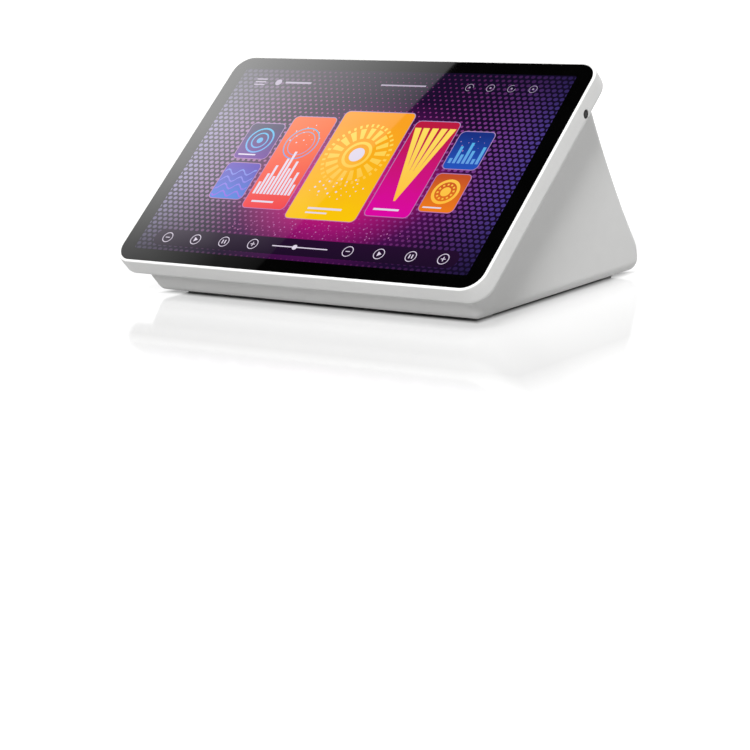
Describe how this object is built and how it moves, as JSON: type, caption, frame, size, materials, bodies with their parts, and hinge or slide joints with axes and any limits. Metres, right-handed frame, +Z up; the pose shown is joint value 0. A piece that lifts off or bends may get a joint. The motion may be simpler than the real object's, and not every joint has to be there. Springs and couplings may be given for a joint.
{
  "type": "karaoke machine",
  "caption": "Wedge-shaped desktop karaoke console with a tilted touch screen, a side push button, a vented rear wall and a recessed rear bay of audio, video, data and mains sockets.",
  "frame": {"origin": "on the table, under the middle of the part's box", "axes": "+X to the right seen from the front, +Y to the back, +Z up"},
  "size_m": [0.292, 0.1948, 0.1404],
  "materials": {
    "case_white": "satin white",
    "grille_white": "satin white",
    "cover_glass": "polished",
    "black_foam": "matte",
    "display_face": "gloss",
    "sheet_steel": "plated sheet",
    "circuit_green": "solder mask",
    "circuit_brown": "bare laminate",
    "zinc_screw": "zinc plated",
    "dark_screw": "blackened",
    "black_button": "satin",
    "black_plastic": "fine texture",
    "copper_coil": "enamelled wire",
    "panel_black": "powder coat",
    "plated_pin": "plated",
    "nickel_shell": "nickel plated",
    "white_ring": "moulded",
    "red_ring": "moulded",
    "yellow_ring": "moulded",
    "shutter_grey": "moulded",
    "white_tongue": "moulded",
    "gold_contact": "gold plated",
    "amber_lens": "clear tint",
    "green_lens": "clear tint",
    "sink_aluminium": "anodised",
    "core_yellow": "taped core",
    "capacitor_sleeve": "sleeved can",
    "drive_aluminium": "machined",
    "brass_standoff": "turned",
    "foot_rubber": "matte"
  },
  "bodies": {
    "case": {"screen_frame": "case_white", "base_housing": "case_white", "vent_grille": "grille_white", "touch_glass": "cover_glass", "glass_tape": "black_foam", "display_panel": "display_face", "display_rails": "sheet_steel", "driver_board": "circuit_green", "frame_screws": "zinc_screw", "button_switch": "black_plastic", "button_board": "circuit_green", "fan_frame": "black_plastic", "fan_coil": "copper_coil", "fan_screws": "zinc_screw", "connector_panel": "panel_black", "ledge_screws": "dark_screw", "panel_screws": "dark_screw", "power_inlet": "black_plastic", "inlet_pins": "plated_pin", "switch_body": "black_plastic", "phono_block": "black_plastic", "phono_shells": "nickel_shell", "phono_rings_white": "white_ring", "phono_rings_red": "red_ring", "phono_ring_yellow": "yellow_ring", "phono_contacts": "plated_pin", "optical_socket": "black_plastic", "speaker_sockets": "black_plastic", "speaker_pins": "plated_pin", "video_shell": "nickel_shell", "video_tongue": "black_plastic", "card_slot": "nickel_shell", "data_port_shell": "nickel_shell", "data_port_tongues": "white_tongue", "network_jack": "nickel_shell", "network_contacts": "gold_contact", "network_lamp_amber": "amber_lens", "network_lamp_green": "green_lens", "main_board": "circuit_green", "heat_sink": "sink_aluminium", "power_board": "circuit_brown", "power_transformer": "core_yellow", "power_capacitors": "capacitor_sleeve", "disk_drive": "drive_aluminium", "disk_bracket": "sheet_steel", "standoffs": "brass_standoff", "board_screws": "zinc_screw", "bottom_plate": "sheet_steel", "bottom_screws": "dark_screw", "rubber_feet": "foot_rubber"},
    "fan": {"fan_rotor": "black_plastic"},
    "rocker": {"power_rocker": "black_button"},
    "button": {"side_button": "black_button", "button_plunger": "black_plastic"},
    "shutter": {"optical_shutter": "shutter_grey"}
  },
  "joints": [
    {"name": "fan_spin", "type": "hinge", "parent": "case", "child": "fan", "pos_m": [0, 0.05756, 0.07588], "axis": [0, -0.913, -0.408], "continuous": true},
    {"name": "rocker_tilt", "type": "hinge", "parent": "case", "child": "rocker", "pos_m": [-0.0642, 0.07238, 0.0309], "axis": [0, 0, -1], "range_deg": [0, 20]},
    {"name": "button_press", "type": "slide", "parent": "case", "child": "button", "axis": [-1, 0, 0], "range_m": [0, 0.0006], "stiffness_N_per_m": 1500},
    {"name": "shutter_swing", "type": "hinge", "parent": "case", "child": "shutter", "pos_m": [0.019, 0.07178, 0.018], "axis": [-1, 0, 0], "range_deg": [0, 80], "stiffness_Nm_per_rad": 0.0006}
  ]
}
